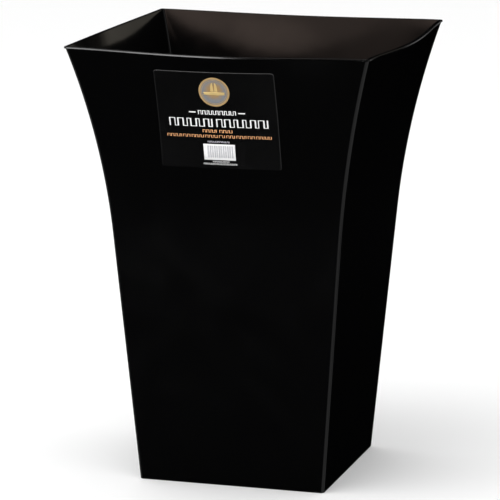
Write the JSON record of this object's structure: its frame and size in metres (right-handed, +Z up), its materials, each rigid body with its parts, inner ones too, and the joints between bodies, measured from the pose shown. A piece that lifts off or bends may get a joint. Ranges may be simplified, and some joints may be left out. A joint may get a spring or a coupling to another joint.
{
  "type": "flared square planter bucket",
  "caption": "Tall square black plastic bucket with flared, slightly bowed walls, an upright rim band and a printed label on its front.",
  "frame": {"origin": "centre of the base on the surface it stands on", "axes": "+Z up towards the open mouth, the labelled front faces -Y, +X to the right when seen from the front"},
  "size_m": [0.3492, 0.3492, 0.485],
  "materials": {
    "shell": "semi-gloss black injection-moulded polypropylene",
    "label_stock": "satin black laminated label film",
    "seal_face": "satin blue-grey print under laminate",
    "gold_foil": "hot-stamped pale gold foil",
    "white_ink": "satin white ink",
    "orange_ink": "satin orange-gold ink",
    "grey_ink": "satin grey ink"
  },
  "bodies": {
    "root": {"planter_shell": "shell", "label_stock": "label_stock", "seal_disc": "seal_face", "seal_ring": "gold_foil", "seal_sprig": "gold_foil", "heading_print": "white_ink", "title_print": "white_ink", "strapline_print": "orange_ink", "barcode_patch": "white_ink", "barcode_bars": "grey_ink", "small_print": "white_ink"}
  },
  "joints": []
}
